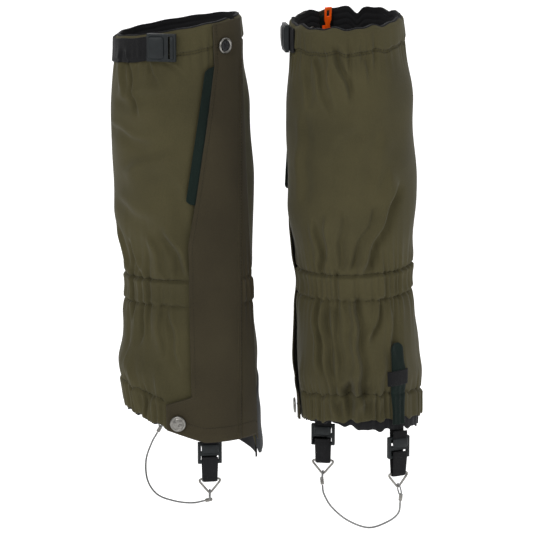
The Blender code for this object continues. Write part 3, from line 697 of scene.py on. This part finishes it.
def softened(name, body, cad, mat, slot, width=0.0005, segments=3):
    """A moulded piece: the CAD solid with its edges rounded over."""
    mesh = NODES[cad].data.copy()
    work = bmesh.new()
    work.from_mesh(mesh)
    bmesh.ops.remove_doubles(work, verts=work.verts, dist=0.00002)
    bmesh.ops.dissolve_limit(work, angle_limit=math.radians(1.0), verts=work.verts, edges=work.edges)
    work.to_mesh(mesh)
    work.free()
    mesh.materials.clear()
    mesh.materials.append(mat)
    piece = bpy.data.objects.new(name, mesh)
    link(piece)
    round_over = piece.modifiers.new("edges", "BEVEL")
    round_over.width = width
    round_over.segments = segments
    round_over.limit_method = "ANGLE"
    round_over.angle_limit = math.radians(35.0)
    evaluated(piece)
    piece.data.shade_smooth()
    attach(piece, body, slot, cad)


def domed_plate(name, centre, across, up, out, size, dome, mat):
    """A rounded moulded plate, thicker in the middle, with soft corners."""
    n = 18
    points = []
    for face in (1.0, -1.0):
        for i in range(n + 1):
            for j in range(n + 1):
                u, v = -1.0 + 2.0 * i / n, -1.0 + 2.0 * j / n
                edge = max(abs(u), abs(v))
                shrink = 1.0 - 0.07 * (abs(u) ** 6) * (abs(v) ** 6) * 2.0
                crown = math.sqrt(max(0.0, 1.0 - edge ** 8))
                depth = size[2] / 2.0 * crown * face
                if face > 0:
                    depth += dome * (1.0 - u * u) * (1.0 - v * v)
                points.append(centre + across * (u * shrink * size[0] / 2) + up * (v * shrink * size[1] / 2)
                              + out * depth)
    m = n + 1
    faces = []
    for base in (0, m * m):
        for i in range(n):
            for j in range(n):
                a = base + i * m + j
                faces.append((a, a + m, a + m + 1, a + 1))
    work = bmesh.new()
    made = [work.verts.new(p) for p in points]
    for face in faces:
        work.faces.new([made[k] for k in face])
    bmesh.ops.remove_doubles(work, verts=work.verts, dist=0.00001)
    bmesh.ops.recalc_face_normals(work, faces=work.faces)
    mesh = bpy.data.meshes.new(name)
    work.to_mesh(mesh)
    work.free()
    mesh.shade_smooth()
    mesh.materials.append(mat)
    piece = bpy.data.objects.new(name, mesh)
    link(piece)
    return piece


def smooth_line(knots, count):
    """Evenly spread points on a Catmull-Rom curve through the knots."""
    knots = [Vector(k) for k in knots]
    padded = [knots[0] * 2 - knots[1]] + knots + [knots[-1] * 2 - knots[-2]]
    dense = []
    for i in range(1, len(padded) - 2):
        p0, p1, p2, p3 = padded[i - 1:i + 3]
        for k in range(12):
            t = k / 12.0
            dense.append(0.5 * ((2 * p1) + (p2 - p0) * t + (2 * p0 - 5 * p1 + 4 * p2 - p3) * t * t
                                + (3 * p1 - p0 - 3 * p2 + p3) * t ** 3))
    dense.append(knots[-1])
    lengths = [0.0]
    for a, b in zip(dense, dense[1:]):
        lengths.append(lengths[-1] + (b - a).length)
    line, cursor = [], 0
    for k in range(count + 1):
        want = lengths[-1] * k / count
        while cursor < len(dense) - 2 and lengths[cursor + 1] < want:
            cursor += 1
        share = (want - lengths[cursor]) / (lengths[cursor + 1] - lengths[cursor])
        line.append(dense[cursor].lerp(dense[cursor + 1], min(1.0, share)))
    return line


def strap_frame(key):
    place, facing = STRAPS[key]
    radians = math.radians(facing)
    out = Vector((math.cos(radians), -math.sin(radians), 0.0))
    return Vector(place), Vector((0, 0, 1)).cross(out).normalized(), out


def woven_strap(name, spine, across, width, thick, mat, waist):
    """A strap swept along a spine of points, with rounded woven edges."""
    lanes = 12
    count = len(spine)
    outer, inner, uv = [], [], []
    along = 0.0
    for lane in range(lanes + 1):
        outer.append([])
        inner.append([])
        uv.append([])
    for i in range(count):
        before, after = spine[max(0, i - 1)], spine[min(count - 1, i + 1)]
        run = (after - before).normalized()
        side = across - run * across.dot(run)
        side.normalize()
        normal = run.cross(side)
        if i:
            along += (spine[i] - spine[i - 1]).length
        narrow = 1.0 - waist * math.sin(math.pi * i / (count - 1))
        for lane in range(lanes + 1):
            u = -1.0 + 2.0 * lane / lanes
            half = thick / 2.0 * math.sqrt(max(0.02, 1.0 - abs(u) ** 6))
            base = spine[i] + side * (u * width / 2.0 * narrow)
            outer[lane].append(tuple(base + normal * half))
            inner[lane].append(tuple(base - normal * half))
            uv[lane].append((u * width / 2.0, along))
    return slab(name, np.array(outer), np.array(inner), mat, np.array(uv))


def folded_strap(name, frame_in, path, count, waist=0.0):
    """Webbing bent along (outward, upward) steps from the strap's own frame."""
    origin, across, out = frame_in
    line = smooth_line([(x, y, 0.0) for x, y in path], count)
    spine = [origin + out * p.x + Vector((0, 0, p.y)) for p in line]
    return woven_strap(name, spine, across, STRAP_WIDTH, 0.0014, WEB, waist)


def ring_faces(count, sides):
    """Quads between rings of points, the last of them back to the first ring."""
    faces = []
    for i in range(count):
        a, b = i * sides, ((i + 1) % count) * sides
        for k in range(sides):
            m = (k + 1) % sides
            faces.append((a + k, a + m, b + m, b + k))
    return faces


def swept_tube(name, line, radius, sides, mat):
    """A tube of constant thickness along a closed line."""
    count = len(line)
    points = []
    normal = (line[1] - line[-1]).normalized().orthogonal().normalized()
    for i in range(count):
        run = (line[(i + 1) % count] - line[i - 1]).normalized()
        normal = (normal - run * normal.dot(run)).normalized()
        binormal = run.cross(normal)
        for k in range(sides):
            turn = 2.0 * math.pi * k / sides
            points.append(line[i] + (normal * math.cos(turn) + binormal * math.sin(turn)) * radius)
    return make_object(name, points, ring_faces(count, sides), mat)


def turned_solid(name, profile, centre, axis, sides, mat, wobble=None):
    """A solid turned about an axis; wobble lifts a point by its radius and turn."""
    spin = axis.orthogonal().normalized()
    cross = axis.cross(spin)
    points = []
    for radius, along in profile:
        for k in range(sides):
            turn = 2.0 * math.pi * k / sides
            lift = wobble(radius, turn, along) if wobble else 0.0
            points.append(centre + axis * (along + lift)
                          + (spin * math.cos(turn) + cross * math.sin(turn)) * radius)
    faces = ring_faces(len(profile), sides)[:-sides]
    faces.append(tuple(range(sides)))
    faces.append(tuple(range((len(profile) - 1) * sides, len(profile) * sides)))
    return make_object(name, points, faces, mat)


def rosette(radius, turn, along):
    """A plain six-petal pattern pressed into the cap's face."""
    if along < 0.0016:
        return 0.0
    petals = math.cos(3.0 * turn) ** 2
    return 0.00035 * petals * math.exp(-((radius - 0.0030) / 0.0014) ** 2)


SNAPS = {"upper": (46.0, -0.016), "lower": (100.0, -0.389)}
CAP_RIM = ((0.0050, 0.0), (0.0076, 0.0), (0.0079, 0.0004), (0.0079, 0.0010), (0.0076, 0.0016),
           (0.0070, 0.0020), (0.0063, 0.0020), (0.0058, 0.0016), (0.0054, 0.0012))
CAP_FACE = ((0.0054, 0.0012), (0.0050, 0.0016), (0.0044, 0.0018), (0.0036, 0.0018), (0.0030, 0.0018),
            (0.0024, 0.0018), (0.0016, 0.0018), (0.0008, 0.0018))
SNAP_BACK = ((0.0020, 0.0), (0.0044, 0.0), (0.0048, -0.0004), (0.0046, -0.0010), (0.0038, -0.0012),
             (0.0030, -0.0008), (0.0022, -0.0008), (0.0016, -0.0014), (0.0008, -0.0014))
CAP_SEAT = 0.0017
SNAP_BACK_DEPTH = 0.0032


def make_snaps(side):
    """The caps on the flap and the rings they leave inside the leg."""
    for place, (angle, height) in SNAPS.items():
        centre, axis = direction(side, angle, height)
        foot = centre + axis * (FLAP_LIFT + CAP_SEAT)
        face_name = f"{side}_snap_cap_{place}_face"
        if place == "lower":
            cap = turned_solid(face_name, CAP_RIM + CAP_FACE[1:], foot, axis, 48, NICKEL, rosette)
        else:
            cap = turned_solid(f"{side}_snap_cap_{place}_rim", CAP_RIM, foot, axis, 48, NICKEL)
            face = turned_solid(face_name, CAP_FACE, foot, axis, 48, BLACK_ENAMEL, rosette)
            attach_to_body(face, side + "_flap_panel")
        attach(cap, side + "_flap_panel", "nickel", f"{side}_snap_cap_{place}")
        inside = centre - axis * SNAP_BACK_DEPTH
        ring = turned_solid(f"{side}_snap_back_{place}", SNAP_BACK, inside, axis, 36, NICKEL)
        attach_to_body(ring, side + "_gaiter")


def make_belt(side):
    """Cuff webbing that follows the cloth, and the belt buckle over it."""
    far = 206.0 if side == "left" else 121.0
    angles = np.linspace(100.0, far, 150)
    shares = np.linspace(0.0, 1.0, 30)
    angle, share = grid_of(angles, shares)
    height = rim(side, angle) - 0.0020 - 0.0235 * share
    edge = np.minimum(share, 1.0 - share) / 0.06
    outward = 0.0030 + 0.0002 * ease(edge) + 0.0003 * np.sin(np.radians(angle * 11.0)) * share
    outward = np.maximum(outward, relief(side, angle, height) + 0.0022)
    piece = cloth_sheet(side, side + "_belt_webbing", angle, height, outward, 0.0012, WEB)
    attach(piece, side + "_gaiter", "webbing", node(side, "cuff_webbing"))
    level = RIM_TILT[side] * math.cos(math.radians(BUCKLE_ANGLE)) - 0.0140
    centre, axis = direction(side, BUCKLE_ANGLE, level)
    across = Vector((0, 0, 1)).cross(axis).normalized()
    up = axis.cross(across).normalized()
    body = side + "_belt_buckle"
    softened(side + "_buckle_frame", body, node(side, "cuff_buckle"), PLASTIC, "plastic", 0.0009, 4)
    plate = domed_plate(side + "_buckle_plate", centre + axis * 0.0072 - across * 0.0052, across, up, axis,
                        (0.0165, 0.0225, 0.0024), 0.0010, PLASTIC)
    attach(plate, body, "plastic")
    bar = domed_plate(side + "_buckle_bar", centre + axis * 0.0068 + across * 0.0105, across, up, axis,
                      (0.0036, 0.0235, 0.0034), 0.0002, PLASTIC)
    attach(bar, body, "plastic")


def make_strap_set(side, which):
    key = side + "_" + which
    frame_in = strap_frame(key)
    origin, across, out = frame_in
    fixed = side == "left" and which == "medial"
    body = side + "_gaiter" if fixed else side + "_stirrup"
    loop = [(-0.0036, 0.0240), (-0.0038, 0.0120), (-0.0036, 0.0055), (-0.0034, 0.0), (-0.0032, -0.0042),
            (-0.0014, -0.0060), (0.0014, -0.0060), (0.0033, -0.0042), (0.0036, -0.0010), (0.0036, 0.0060)]
    strap = folded_strap(key + "_hem_webbing", frame_in, loop, 60)
    if fixed:
        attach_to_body(strap, body)
    else:
        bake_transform(strap)
    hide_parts(key + "_hem_strap")
    softened(key + "_lock_frame", body, key + "_lock", PLASTIC, "plastic", 0.0009, 4)
    up = Vector((0, 0, 1))
    thumb = domed_plate(key + "_lock_thumb", origin + out * 0.0040 - up * LOCK_DROP, across, up, out,
                        (0.0175, 0.0095, 0.0022), 0.0008, PLASTIC)
    attach(thumb, body, "plastic")
    bar = -BAR_DROP
    loop = [(-0.0036, -0.0110), (-0.0037, -0.0215), (-0.0026, bar + 0.004), (-0.0024, bar),
            (-0.0014, bar - 0.0021), (0.0014, bar - 0.0021), (0.0024, bar), (0.0028, bar + 0.005),
            (0.0040, -0.0215), (0.0040, -0.0150)]
    strap = folded_strap(key + "_loop_webbing", frame_in, loop, 80, 0.06)
    attach(strap, body, "webbing", key + "_webbing")
    ring = swept_tube(key + "_wire_ring", ring_line(frame_in), 0.0011, 14, NICKEL)
    attach(ring, body, "nickel", key + "_ring")


def ring_line(frame_in):
    origin, across, _ = frame_in
    corners = [Vector((-RING_HALF, -BAR_DROP)), Vector((RING_HALF, -BAR_DROP)), Vector((0.0, -TIP_DROP))]
    line = []
    for index, here in enumerate(corners):
        before, after = corners[index - 1], corners[(index + 1) % 3]
        bend = TIP_BEND if index == 2 else BAR_BEND
        enter = here + (before - here).normalized() * bend
        leave = here + (after - here).normalized() * bend
        for k in range(9):
            t = k / 8.0
            spot = enter * (1 - t) ** 2 + here * (2 * t * (1 - t)) + leave * t ** 2
            line.append(origin + across * spot.x + Vector((0, 0, spot.y)))
    return line


def make_cable(side):
    line = smooth_line(CABLE_ROUTES[side], 70)
    curve = bpy.data.curves.new(side + "_wire", "CURVE")
    curve.dimensions = "3D"
    curve.bevel_depth = CABLE_WIDE / 2.0
    curve.bevel_resolution = 5
    curve.use_fill_caps = True
    spline = curve.splines.new("POLY")
    spline.points.add(len(line) - 1)
    for slot, point in zip(spline.points, line):
        slot.co = (*point, 1.0)
    curve.materials.append(STEEL)
    wire = bpy.data.objects.new(side + "_stirrup_wire", curve)
    link(wire)
    body = side + "_stirrup"
    attach(wire, body, "steel_wire", node(side, "stirrup_cable"))
    first, last = ("medial", "lateral") if side == "left" else ("lateral", "medial")
    ends = []
    for end, inward, which in ((line[0], line[1], first), (line[-1], line[-2], last)):
        ends += cable_end(side, end, inward, which, body)


def cable_end(side, end, inward, which, body):
    origin, _, out = strap_frame(side + "_" + which)
    away = (end - inward).normalized()
    start = end + away * 0.0003
    profile = [(0.0011, 0.0), (0.0017, 0.0002), (0.0020, 0.0008), (0.0018, 0.0020), (0.0020, 0.0030),
               (0.0018, 0.0040), (0.0020, 0.0050), (0.0018, 0.0060), (0.0020, 0.0070), (0.0012, 0.0078)]
    ferrule = turned_solid(f"{side}_ferrule_{which}", profile, start, away, 20, NICKEL)
    foot = start + away * 0.0050
    tip = origin - Vector((0, 0, TIP_DROP - 0.0040))
    reach = tip - foot
    run = reach.normalized()
    width = (out - run * out.dot(run)).normalized()
    middle, half = foot + reach / 2.0, reach.length / 2.0
    line = []
    for k in range(40):
        turn = 2.0 * math.pi * k / 40
        line.append(middle + run * (half * math.cos(turn)) + width * (0.0032 * math.sin(turn)))
    eye = swept_tube(f"{side}_cable_eye_{which}", line, 0.0007, 10, STEEL)
    for piece in (ferrule, eye):
        attach(piece, body, "steel_wire")
    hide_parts(f"{side}_cable_end_{which}")
    return [ferrule, eye]


def make_tongue(side):
    """The dark strap on the inner side of the leg and the keeper sewn over it."""
    lanes = np.linspace(-1.0, 1.0, 26)
    shares = np.linspace(0.0, 1.0, 90)
    lane, down = grid_of(lanes, shares)
    crown = np.sqrt(np.clip(1.0 - (1.0 - np.clip(down / 0.09, 0.0, 1.0)) ** 2, 0.12, 1.0))
    wide = 7.4 - 0.7 * np.sin(down * 9.0)
    angle = TONGUE_ANGLE + lane * wide * crown
    bottom = hem_plain(side, angle) - 0.004
    height = TONGUE_TOP + (bottom - TONGUE_TOP) * down
    edge = ease((1.0 - np.abs(lane)) / 0.12)
    outward = 0.0020 + 0.0004 * edge + 0.35 * relief(side, angle, height)
    outward = np.maximum(outward, 0.0012 + relief(side, angle, height))
    piece = cloth_sheet(side, side + "_tongue_strap", angle, height, outward + 0.0008, 0.0010, TAPE)
    attach(piece, side + "_gaiter", "tape_fabric", node(side, "strap_tongue"))
    lanes = np.linspace(-1.0, 1.0, 30)
    lane, down = grid_of(lanes, np.linspace(0.0, 1.0, 24))
    angle = TONGUE_ANGLE + lane * 11.5
    height = -0.3455 - 0.0150 * down
    tuck = 0.0022 * (1.0 - ease((1.0 - np.abs(lane)) / 0.25))
    outward = 0.0048 - tuck + 0.3 * relief(side, angle, height)
    patch = cloth_sheet(side, side + "_keeper_patch", angle, height, outward, 0.0010, WEB)
    attach(patch, side + "_gaiter", "webbing", node(side, "strap_keeper"))


# ---------------------------------------------------------------- thread and zip
def stitches(name, lines, mat, length=0.0021, pitch=0.0031, radius=0.00026):
    """Rows of short raised stitches along lines of (point, outward) pairs."""
    points, faces = [], []
    for line in lines:
        travel = 0.0
        nxt = 0.0
        for (p, n), (q, _) in zip(line, line[1:]):
            span = (q - p).length
            while nxt < travel + span and span > 0:
                run = (q - p).normalized()
                centre = p + run * (nxt - travel)
                side = run.cross(n).normalized()
                base = len(points)
                for along, scale in ((-0.5, 0.35), (-0.3, 1.0), (0.3, 1.0), (0.5, 0.35)):
                    for u, v in ((1, 0), (0.5, 0.9), (-0.5, 0.9), (-1, 0), (0, -0.8)):
                        points.append(centre + run * (along * length) + side * (u * radius * scale)
                                      + n * (v * radius * scale))
                for r in range(3):
                    for k in range(5):
                        a, b = base + r * 5 + k, base + r * 5 + (k + 1) % 5
                        faces.append((a, b, b + 5, a + 5))
                faces.append(tuple(base + k for k in (4, 3, 2, 1, 0)))
                faces.append(tuple(base + 15 + k for k in range(5)))
                nxt += pitch
            travel += span
    return make_object(name, points, faces, mat)


def surface_line(side, angles, heights, outward):
    base = placed(side, wall(angles, heights, outward))
    tip = placed(side, wall(angles, heights, outward + 0.01))
    return [(Vector(b.tolist()), Vector((t - b).tolist()).normalized()) for b, t in zip(base, tip)]


def shell_stitches(side):
    around = np.linspace(62.0, 376.0, 700)
    lines = []
    levels = [rim(side, around) - CUFF_BAND - 0.0016, rim(side, around) - CUFF_BAND + 0.0010]
    for drop in (WAIST_HALF + 0.0004, -WAIST_HALF - 0.0004):
        levels.append(np.full_like(around, WAIST + drop))
    for heights in levels:
        lines.append(surface_line(side, around, heights, 0.0009 + relief(side, around, heights)))
    toe = np.linspace(114.0, 376.0, 560)
    heights = hem(side, toe) + HEM_BAND
    lines.append(surface_line(side, toe, heights, 0.0009 + relief(side, toe, heights)))
    piece = stitches(side + "_shell_thread", lines, THREAD)
    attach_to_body(piece, side + "_gaiter")
    edges = []
    for lane in (-9.8, 9.8):
        rows = np.linspace(-0.3465, -0.3595, 20)
        edges.append(surface_line(side, np.full_like(rows, TONGUE_ANGLE + lane), rows, 0.0036))
    for row in (-0.3466, -0.3594):
        lane = np.linspace(-9.8, 9.8, 30) + TONGUE_ANGLE
        edges.append(surface_line(side, lane, np.full_like(lane, row), 0.0049))
    piece = stitches(side + "_keeper_thread", edges, DARK_THREAD)
    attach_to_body(piece, side + "_gaiter")


def flap_stitches(side):
    lines = []
    down = np.linspace(0.004, 0.992, 500)
    for inset in (1.6, 3.4):
        angle = flap_edge(down) - inset
        height = flap_height(side, angle, down)
        outward = flap_thread_out(side, angle, height)
        outward = outward + 0.00112 * bell(down - 0.86, 0.04)
        lines.append(surface_line(side, angle, height, outward))
    down = np.linspace(0.10, 0.985, 420)
    for shift in (-1.1, 1.3):
        angle = seam_angle(down) + shift
        height = flap_height(side, angle, down)
        outward = flap_thread_out(side, angle, height)
        lines.append(surface_line(side, angle, height, outward))
    angle = np.linspace(22.0, 106.0, 260)
    height = rim(side, angle) * 0.035 + hem_plain(side, angle) * 0.965
    lines.append(surface_line(side, angle, height, flap_thread_out(side, angle, height)))
    piece = stitches(side + "_flap_thread", lines, THREAD)
    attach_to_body(piece, side + "_flap_panel")


def make_waist_elastic(side):
    """The ribbed elastic band sewn inside the waist channel."""
    angles = np.linspace(ZIP_ANGLE + 12.0, ZIP_ANGLE + 348.0, 420)
    shares = np.linspace(0.0, 1.0, 40)
    angle, share = grid_of(angles, shares)
    height = WAIST + 0.0100 - 0.0225 * share
    ribs = 0.0004 * np.abs(np.sin(share * math.pi * 6.0))
    tucks = 0.0003 * np.sin(np.radians(angle * 90.0))
    outward = np.minimum(0.0, relief(side, angle, height)) - 0.0006 + tucks
    outer = placed(side, wall(angle, height, outward))
    inner = placed(side, wall(angle, height, outward - 0.0012 - ribs))
    piece = slab(side + "_waist_band", outer, inner, WEB, np.stack((angle * 0.0011, height), axis=-1))
    attach(piece, side + "_gaiter", "elastic", node(side, "waist_elastic"))


def make_zip_tapes(side):
    """Two woven tapes with a turned stop across their lower ends."""
    for part, low, high in (("front", 0.9, 7.0), ("rear", -7.0, -0.9)):
        turns = ZIP_ANGLE + np.linspace(low, high, 14)
        turn, share = grid_of(turns, np.linspace(0.0, 1.0, 120))
        top = rim(side, turn) - 0.0035
        height = top + (ZIP_END - top) * share
        outward = -0.0009 + 0.0002 * np.sin(height * 260.0)
        piece = cloth_sheet(side, f"{side}_zip_tape_{part}", turn, height, outward, 0.0008, TAPE)
        attach(piece, side + "_gaiter", "tape_fabric")
        if part == "front":
            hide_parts(node(side, "zip_tapes"))
    centre, axis = direction(side, ZIP_ANGLE, -0.3875)
    across = Vector((0, 0, 1)).cross(axis).normalized()
    up = axis.cross(across).normalized()
    stop = domed_plate(side + "_zip_stop", centre - axis * 0.0006, across, up, axis,
                       (0.0052, 0.0040, 0.0026), 0.0002, NICKEL)
    attach(stop, side + "_gaiter", "nickel")


def make_zip(side):
    """Coil teeth along both tapes, with the slider and its pull."""
    points, faces = [], []
    count = 150
    heights = np.linspace(-0.006, -0.384, count)
    for row, lean in ((0.0, 0.75), (1.0, -0.75)):
        angles = np.full(count, ZIP_ANGLE + lean)
        line = surface_line(side, angles, heights - row * 0.00125, -0.0011)
        for (p, n), (q, _) in zip(line, line[1:]):
            run = (q - p).normalized()
            across = run.cross(n).normalized()
            base = len(points)
            for along in (-0.0006, 0.0006):
                for u, v in ((-0.0011, -0.0006), (0.0011, -0.0006), (0.0009, 0.0005), (-0.0009, 0.0005)):
                    points.append(p + run * along + across * u + n * v)
            quads = ((0, 1, 2, 3), (7, 6, 5, 4), (0, 4, 5, 1), (1, 5, 6, 2), (2, 6, 7, 3), (3, 7, 4, 0))
            faces += [tuple(base + k for k in quad) for quad in quads]
    teeth = make_object(side + "_zip_teeth", points, faces, PLASTIC, smooth=False)
    attach(teeth, side + "_gaiter", "plastic")
    softened(side + "_slider_body", side + "_slider", node(side, "zip_slider"),
             ORANGE, "orange_pull", 0.0003, 3)
    softened(side + "_pull_grip", side + "_pull_tab", node(side, "zip_pull"),
             ORANGE, "orange_pull", 0.0004, 3)


for SIDE in ("left", "right"):
    make_snaps(SIDE)
    make_belt(SIDE)
    make_tongue(SIDE)
    shell_stitches(SIDE)
    flap_stitches(SIDE)
    make_waist_elastic(SIDE)
    make_zip_tapes(SIDE)
    make_zip(SIDE)
    make_cable(SIDE)
    for WHICH in ("lateral", "medial"):
        make_strap_set(SIDE, WHICH)


SLOT_MATERIALS = {
    "olive_fabric": OLIVE, "flap_fabric": FLAP, "lining_fabric": LINING, "heel_fabric": HEEL,
    "tape_fabric": TAPE, "webbing": WEB, "elastic": LINING, "plastic": PLASTIC, "orange_pull": ORANGE,
    "nickel": NICKEL, "steel_wire": STEEL,
}


def dress_nodes():
    """Give every CAD node that still shows its procedural material."""
    slots = {row["node"]: row["material_slot"] for row in frame["record"]["subparts"]}
    for name, thing in NODES.items():
        for slot in thing.material_slots:
            slot.material = SLOT_MATERIALS[slots[name]]


dress_nodes()
